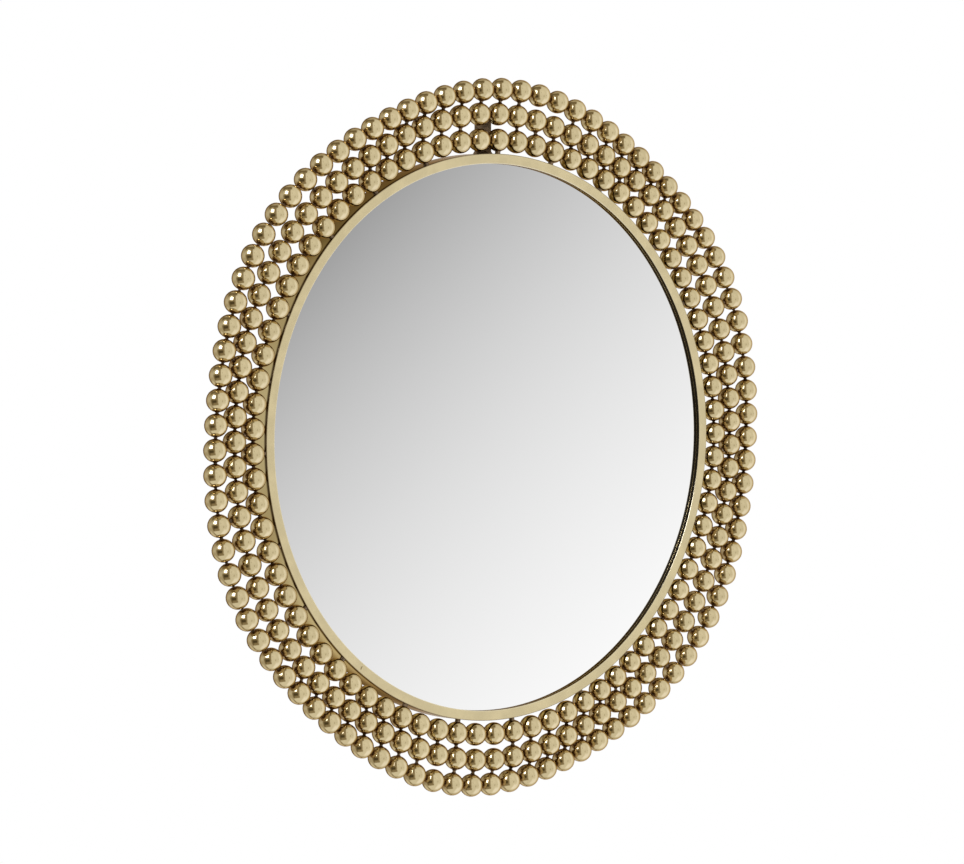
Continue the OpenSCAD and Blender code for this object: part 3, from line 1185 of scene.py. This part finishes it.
@dataclass
class ClipScrews(Piece):
    """Pan-head screws with a cross recess.

    Attributes:
        head: Diameter of a head.
        height: Height of a head.
        shank: Diameter of the shank.
        arm: Length of a recess arm from the middle.
        slot: Width of a recess arm.
        recess: Depth of the recess.
        crown: How far the rim of the head lies below its middle, as a share of its height.
        flatness: How flat the head stays towards its rim, as the power of the distance from its middle.
    """

    head: float = 6.4 * MM
    height: float = 1.8 * MM
    shank: float = 3 * MM
    arm: float = 1.6 * MM
    slot: float = 0.9 * MM
    recess: float = 1 * MM
    crown: float = 0.75
    flatness: float = 3.2

    def surface(self) -> Surface:
        """Draws one screw as a disc of points, raised to a dome that falls away to the shank.

        A square grid is carried onto the disc by x sqrt(1 - z²/2) and z sqrt(1 - x²/2), and its lines stand
        closer along the recess. The rim then goes down round the head and in to the shank.

        Returns:
            All the screws.
        """
        radius = self.head / 2
        arm, slot = self.arm / radius, self.slot / 2 / radius
        half = np.array([0, slot * 0.75, slot, slot * 1.6, 0.38, arm * 0.93, arm, 0.75, 0.9, 1.0])
        line = np.concatenate([-half[:0:-1], half])
        x, z = np.meshgrid(line, line, indexing="ij")
        nearer, further = np.sort(np.abs([x, z]), axis=0)
        in_slot = (nearer < slot * 0.9) & (further < arm * 0.97)
        round_x, round_z = x * np.sqrt(1 - z * z / 2), z * np.sqrt(1 - x * x / 2)
        dome = self.height * (1 - self.crown * np.hypot(round_x, round_z) ** self.flatness)
        dome = np.where(in_slot, self.height - self.recess, dome)
        top = np.stack([round_x * radius, dome, round_z * radius], axis=-1).reshape(-1, 3)
        number = np.arange(len(top)).reshape(x.shape)
        rim = np.concatenate([number[0, :-1], number[:-1, -1], number[-1, :0:-1], number[:0:-1, 0]])
        low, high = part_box(self.node)
        end, narrow = low[1] + self.height - high[1], self.shank / self.head
        rows = [(1.0, 0.0), (narrow, 0.0), (narrow, end)]
        skirt = [top[rim] * [scale, 0, scale] + [0, height, 0] for scale, height in rows]
        points = np.concatenate([top, *skirt, [[0.0, end, 0.0]]])
        tip = np.full(len(rim), len(points) - 1)
        down = np.concatenate([rim, np.arange(len(top), len(points) - 1), tip])
        sides = down[np.roll(grid_faces(len(rows) + 2, len(rim), False, True)[:, ::-1], 1, axis=1)]
        head = grid_faces(len(line), len(line), False, False)
        one = Surface(points, np.concatenate([head, sides])).outward()
        places = solid_centres(self.node) * [1, 0, 1] + [0, high[1] - self.height, 0]
        return one.copies(places, round_axes(places))


@dataclass
class WallBumpers(Piece):
    """Soft round bumpers that keep the mirror off the wall.

    Attributes:
        foot: Diameter where a bumper is stuck on.
        taper: How much smaller it is across its wall face.
        edge: Size of the rounded edge.
        segments: Steps round a bumper.
    """

    foot: float = 20 * MM
    taper: float = 2 * MM
    edge: float = 1.2 * MM
    segments: int = 48

    def surface(self) -> Surface:
        """Carries half of a bumper's section round its own axis.

        Returns:
            All the bumpers.
        """
        low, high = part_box(self.node)
        height, foot = high[1] - low[1], self.foot / 2
        corners = np.array([[0, 0], [foot, 0], [foot - self.taper / 2, height], [0, height]])
        outline = rounded(corners, self.edge * np.array([0, 0.3, 1, 0]), 4)
        places = solid_centres(self.node) * [1, 0, 1] + [0, low[1], 0]
        return revolved(outline, even_angles(self.segments)).copies(places, round_axes(places))


@dataclass
class HangerStrap(Piece):
    """The flat strap behind the rings, with its hanging hole.

    Attributes:
        corner: Radius of the upper corners.
        hole: Diameter of the hole.
        edge: Size of the broken edges.
    """

    corner: float = 4 * MM
    hole: float = 7 * MM
    edge: float = 0.4 * MM

    def hole_height(self, bottom: float, top: float) -> float:
        """Finds the middle of the hole in the CAD node, from its points there.

        Args:
            bottom: Height of the strap's foot.
            top: Height of its upper edge.

        Returns:
            The height of the hole's middle.
        """
        x, _, z = node_points(self.node)[0].T
        rim = z[(np.abs(x) < self.hole) & (z > bottom + self.corner) & (z < top - self.corner)]
        return (rim.min() + rim.max()) / 2

    def surface(self) -> Surface:
        """Draws the plate as rows of points between its hole and its outline.

        Each point of the outline has a partner on the hole in the same direction. Rows run from the hole's
        edge over the front face, round the outline's edge, and back over the rear face into the hole.

        Returns:
            The strap.
        """
        low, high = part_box(self.node)
        half, bottom, top = high[0], low[2], high[2]
        sides = np.array([[-half, bottom], [half, bottom], [half, top], [-half, top]])
        outline = rounded(sides, self.corner * np.array([0.1, 0.1, 1, 1]), 6)
        ahead = np.roll(outline, -1, axis=0)
        parts = np.arange(4)[None, :, None] / 4
        outline = (outline[:, None] * (1 - parts) + ahead[:, None] * parts).reshape(-1, 2)
        on_band = np.sqrt(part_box("frame_band")[1][0] ** 2 - outline[:, 0] ** 2)
        foot = np.abs(outline[:, 1] - bottom) < 0.5 * MM
        outline[:, 1] = np.where(foot, on_band, outline[:, 1])
        middle = [0, self.hole_height(bottom, top)]
        away = outline - middle
        direction = away / np.linalg.norm(away, axis=1, keepdims=True)
        hole = direction * self.hole / 2 + middle
        front, back, step = low[1], high[1], direction * self.edge
        stations = [(hole, front + self.edge), (hole + step, front), ((hole + outline) / 2, front)]
        stations += [(outline - step, front), (outline, front + self.edge)]
        stations += [(ring, front + back - y) for ring, y in reversed(stations)]
        points = np.concatenate([np.insert(ring, 1, y, axis=1) for ring, y in stations])
        return Surface(points, grid_faces(len(stations), len(outline), True, True)).outward()


@dataclass
class StrapWelds(Piece):
    """The fillets and beads that hold the strap, which keep their CAD shape."""

    def build(self, effects: Effects) -> None:
        """Gives the CAD node its finish.

        Args:
            effects: The shared node groups.
        """
        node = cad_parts[self.node]
        node.data.materials.clear()
        node.data.materials.append(self.finish.material(effects))
        log.info("%s: CAD shape kept", self.name)


# Studio


@dataclass(frozen=True)
class SoftCard:
    """A soft-edged rectangle of light or shade round the object, placed by compass.

    Attributes:
        name: What it stands for.
        azimuth: Direction of its middle in degrees, from +Y clockwise as seen from above.
        half_width: Half of its width in degrees.
        height: Height of its middle in degrees.
        half_height: Half of its height in degrees.
        softness: Width in degrees over which it fades.
        radiance: Its brightness, where 1 is white.
    """

    name: str
    azimuth: float
    half_width: float
    height: float
    half_height: float
    softness: float
    radiance: float

    @classmethod
    def numbers(cls) -> list[str]:
        """Names the fields that are numbers, which the card's node group takes under the same names."""
        return [entry.name for entry in fields(cls) if entry.name != "name"]


STUDIO_CARDS = (
    SoftCard("floor all round", 180, 200, -89, 19, 22, 0.90),
    SoftCard("floor", 183, 120, -68, 25, 14, 0.96),
    SoftCard("light above and behind", 50, 60, 64, 14, 18, 0.60),
    SoftCard("left of the room", 322, 34, -8, 46, 20, 0.58),
    SoftCard("lit wall on the left", 318, 22, 3, 15, 16, 0.72),
    SoftCard("lit floor behind", 356, 34, -46, 15, 16, 0.88),
    SoftCard("side wall", 60, 24, -14, 52, 16, 0.80),
    SoftCard("front wall", 149, 67, 6, 61, 14, 0.94),
    SoftCard("lit side of the front wall", 118, 12, -12, 43, 31, 1.22),
    SoftCard("top of the front wall", 132, 46, 68, 8, 11, 0.90),
    SoftCard("bright patch of the front wall", 189, 30, 31, 17, 20, 1.01),
    SoftCard("bright edge of the floor", 130, 34, -52, 24, 28, 1.26),
    SoftCard("strip beside the window", 231, 13, 25, 51, 18, 0.38),
    SoftCard("glow round the window", 274, 24, 37, 22, 28, 0.86),
    SoftCard("window", 261, 15, 34, 14, 5, 7.0),
    SoftCard("dark patch of the floor", 237, 29, -35, 10, 12, 0.36),
    SoftCard("dark corner", 251, 23, -9, 13, 12, 0.10),
    SoftCard("mark on the front wall", 170, 4, -6, 7, 7, 0.66),
    SoftCard("mark above it", 197, 3, 28, 8, 7, 0.66),
)


@dataclass
class Studio:
    """The plain pale floor, the soft light, and the camera.

    Attributes:
        camera_place: The camera's place from the middle of the balls' plane.
        camera_tilt: The camera's angle from straight down.
        camera_turn: The camera's turn about the vertical.
        lens: Focal length in millimetres, on a sensor 36 mm wide.
        floor_drop: How far the floor lies below the mirror's centre.
        floor_radius: Radius of the floor.
        floor_segments: Steps round the floor.
        floor_shades: The two shades that its colour drifts between.
        floor_roughness: How far it scatters what it mirrors.
        floor_glow: How much it glows to the camera.
        room_shade: Brightness of the rest of the room.
        dim_tint: Colour of the light from the dim parts of the room.
        dim_range: Brightness up to which light has that colour, and from which it is white.
        bright_tint: Colour of the light from the brightest parts.
        bright_range: Brightness up to which light is white, and from which it has that colour.
        wander: How far, in degrees, the edges in the room stray from straight.
        cards: The soft cards, each over the ones before it.
        sweep_centre: Direction that the glass mirrors at its middle.
        sweep_edge: Angles from there at which the sweep starts to fade, and is gone.
        sweep_across: Direction in which its light grows.
        sweep_reach: How far a direction may lean before the light stays the same.
        sweep_light: The brightest light, how far it falls at the middle, and how fast.
    """

    camera_place: tuple[float, float, float] = (-3.7562, -4.6125, 0.2199)
    camera_tilt: float = math.radians(87.94)
    camera_turn: float = math.radians(-39.06)
    lens: float = 201.6
    floor_drop: float = 1.35
    floor_radius: float = 6.0
    floor_segments: int = 96
    floor_shades: tuple[tuple[float, ...], ...] = ((0.78, 0.78, 0.77, 1.0), (0.82, 0.82, 0.81, 1.0))
    floor_roughness: float = 0.9
    floor_glow: float = 0.5
    room_shade: float = 0.23
    dim_tint: tuple[float, float, float] = (1.0, 0.80, 0.48)
    dim_range: tuple[float, float] = (0.08, 0.95)
    bright_tint: tuple[float, float, float] = (0.98, 1.01, 1.18)
    bright_range: tuple[float, float] = (0.92, 1.35)
    wander: float = 6.0
    cards: tuple[SoftCard, ...] = STUDIO_CARDS
    sweep_centre: tuple[float, float, float] = (0.630, -0.776, -0.036)
    sweep_edge: tuple[float, float] = (math.radians(3.4), math.radians(4.6))
    sweep_across: tuple[float, float, float] = (0.753, 0.658, -0.999)
    sweep_reach: float = 0.07
    sweep_light: tuple[float, float, float] = (1.45, 0.66, 7.6)

    def camera(self) -> None:
        """Stands the camera where the photograph was taken from."""
        low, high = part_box("inner_ring_balls")
        data = bpy.data.cameras.new("photograph")
        data.sensor_width, data.lens, data.clip_end = 36.0, self.lens, 100.0
        made = placed("photograph", data)
        made.location = np.array(self.camera_place) + [0, (low[1] + high[1]) / 2, 0]
        made.rotation_euler = Euler((self.camera_tilt, 0, self.camera_turn))
        bpy.context.scene.camera = made

    def compass(self) -> bpy.types.NodeTree:
        """Builds the group that turns a direction into an azimuth and a height in degrees.

        Returns:
            The group.
        """
        g = Group("compass", {"Direction": None}, ["look azimuth", "look height"])
        part = g.node("SeparateXYZ", {0: g.given["Direction"]}).outputs
        g.put_out("look azimuth", g.math("DEGREES", g.math("ARCTAN2", part[0], part[1])))
        g.put_out("look height", g.math("DEGREES", g.math("ARCSINE", part[2])))
        return g.tree

    def card(self) -> bpy.types.NodeTree:
        """Builds the group that lays one soft card over the light beneath it.

        Its mask is the product of two soft edges, one by azimuth round the circle and one by height.

        Returns:
            The group, whose inputs are named after the card's fields.
        """
        names = ["beneath", "look azimuth", "look height", *SoftCard.numbers()]
        g = Group("soft card", dict.fromkeys(names, 0.0), ["light"])
        given = g.given
        turn = g.math("SUBTRACT", given["look azimuth"], given["azimuth"])
        aside = g.math("ABSOLUTE", g.math("WRAP", turn, 180.0, -180.0))
        above = g.math("ABSOLUTE", g.math("SUBTRACT", given["look height"], given["height"]))
        masks = []
        for off, half in ((aside, given["half_width"]), (above, given["half_height"])):
            past = g.math("DIVIDE", g.math("SUBTRACT", off, half), given["softness"])
            masks.append(g.ramp(past, -0.5, 0.5, 1.0, 0.0))
        more = g.math("SUBTRACT", given["radiance"], given["beneath"])
        g.put_out("light", g.math("MULTIPLY_ADD", g.math("MULTIPLY", *masks), more, given["beneath"]))
        return g.tree

    def room(self, s: Shader, direction: Socket) -> Socket:
        """Lays the soft cards over the dim room, with edges that stray a little from straight.

        Args:
            s: The world's shader.
            direction: The direction looked in.

        Returns:
            The room's light in that direction.
        """
        uneven = s.node("SeparateColor", {0: s.noise(direction, 2.6, 3.0, "Color")}).outputs
        compass = s.group(self.compass(), {"Direction": direction}).outputs
        look = {
            name: s.math("ADD", compass[name], s.math("MULTIPLY_ADD", uneven[number], self.wander * 2, -self.wander))
            for number, name in enumerate(("look azimuth", "look height"))
        }
        card_group, light = self.card(), self.room_shade
        for card in self.cards:
            inputs = {"beneath": light} | look | {name: getattr(card, name) for name in SoftCard.numbers()}
            light = s.node("Group", inputs, node_tree=card_group, label=card.name).outputs[0]
        return light

    def sweep(self, s: Shader, direction: Socket) -> tuple[Socket, Socket]:
        """Works out the sweep of light that the glass mirrors, darker on one side.

        Its light is brightest - fall * exp(-rate * t), where t is how far a direction leans to the bright side.

        Args:
            s: The world's shader.
            direction: The direction looked in.

        Returns:
            How much of the sweep a direction sees, and the sweep's light.
        """
        brightest, fall, rate = self.sweep_light
        lean = s.vector("DOT_PRODUCT", direction, self.sweep_across, "Value")
        within = s.math("MINIMUM", s.math("MAXIMUM", lean, -self.sweep_reach), self.sweep_reach)
        falling = s.math("EXPONENT", s.math("MULTIPLY", within, -rate))
        facing = s.vector("DOT_PRODUCT", direction, self.sweep_centre, "Value")
        full, gone = (math.cos(angle) for angle in self.sweep_edge)
        return s.ramp(facing, gone, full), s.math("MULTIPLY_ADD", falling, -fall, brightest)

    def world(self) -> None:
        """Lights the object by the room and the sweep, and shows white to the camera."""
        world = bpy.data.worlds.new("studio")
        bpy.context.scene.world = world
        s = Shader(emptied(world))
        direction = s.node("TexCoord").outputs["Generated"]
        light = self.room(s, direction)
        warm = s.mix(s.ramp(light, *self.dim_range), (*self.dim_tint, 1.0), WHITE)
        tint = s.mix(s.ramp(light, *self.bright_range), warm, (*self.bright_tint, 1.0))
        inside, sweep = self.sweep(s, direction)
        light = s.math("MULTIPLY_ADD", inside, s.math("SUBTRACT", sweep, light), light)
        studio = s.node("Background", {"Color": s.mix(inside, tint, WHITE), "Strength": light}).outputs[0]
        white = s.node("Background", {"Color": WHITE, "Strength": 1.0}).outputs[0]
        seen = s.node("LightPath").outputs["Is Camera Ray"]
        s.node("OutputWorld", {"Surface": s.node("MixShader", {0: seen, 1: studio, 2: white}).outputs[0]})

    def floor(self) -> None:
        """Lays a pale round floor below the mirror, which keeps its soft shadow."""
        angles = even_angles(self.floor_segments)
        rim = np.stack([np.cos(angles), np.sin(angles), np.zeros_like(angles)], axis=1) * self.floor_radius
        mesh = bpy.data.meshes.new("floor")
        mesh.from_pydata((rim - [0, 0, self.floor_drop]).tolist(), [], [list(range(len(rim)))])
        material = bpy.data.materials.new("pale floor")
        s = Shader(emptied(material))
        grain = s.noise(s.node("TexCoord").outputs["Object"], 3.0)
        colour = s.mix(grain, *self.floor_shades)
        matt = s.node("BsdfPrincipled", {"Base Color": colour, "Roughness": self.floor_roughness}).outputs[0]
        glow = s.node("Emission", {"Color": WHITE, "Strength": self.floor_glow}).outputs[0]
        lit = s.node("AddShader", {0: matt, 1: glow}).outputs[0]
        seen = s.node("LightPath").outputs["Is Camera Ray"]
        s.node("OutputMaterial", {"Surface": s.node("MixShader", {0: seen, 1: matt, 2: lit}).outputs[0]})
        mesh.materials.append(material)
        made = placed("floor", mesh)
        made.visible_glossy = False

    def build(self) -> None:
        """Makes the camera, the light and the floor."""
        self.camera()
        self.world()
        self.floor()
        bpy.context.scene.view_settings.view_transform = "Standard"
        log.info("studio: %d soft cards", len(self.cards))


def pieces() -> list[Piece]:
    """Lists the mirror's pieces, from the band outwards and then to the back.

    Returns:
        The pieces, ready to build.
    """
    rings = [f"{ring}_ring_balls" for ring in ("inner", "middle", "outer")]
    balls = np.concatenate([solid_centres(node) for node in rings])
    necks = [f"{ring}_ring_welds" for ring in ("inner", "middle", "outer")]
    necks += ["inner_middle_welds", "middle_outer_welds"]
    return [
        Band("band", "frame_band", SATIN_GOLD),
        Disc("glass", "mirror_glass", SILVER),
        *[BallRing(node.replace("_balls", ""), node, POLISHED_GOLD, balls) for node in rings],
        *[WeldNecks(node.replace("_welds", "_necks"), node, WELD_GOLD_AND_SHADE, balls) for node in necks],
        BandPegs("pegs", "band_pegs", WELD_GOLD_AND_SHADE),
        Disc("pad", "foam_pad", PAD_FOAM, rim=0.3 * MM, steps=2),
        Disc("board", "backing_board", BOARD, rim=0.5 * MM, steps=2),
        BoardClips("clips", "board_clips", STEEL),
        ClipScrews("screws", "clip_screws", STEEL),
        WallBumpers("bumpers", "wall_bumpers", RUBBER),
        HangerStrap("strap", "hanger_strap", WELD_GOLD_AND_SHADE),
        StrapWelds("strap welds", "strap_welds", WELD_GOLD_AND_SHADE),
    ]


def main() -> None:
    """Builds the studio and every piece."""
    logging.basicConfig(level=logging.INFO, format="%(name)s: %(message)s")
    effects = Effects()
    Studio().build()
    for piece in pieces():
        piece.build(effects)


if __name__ == "__main__":
    main()
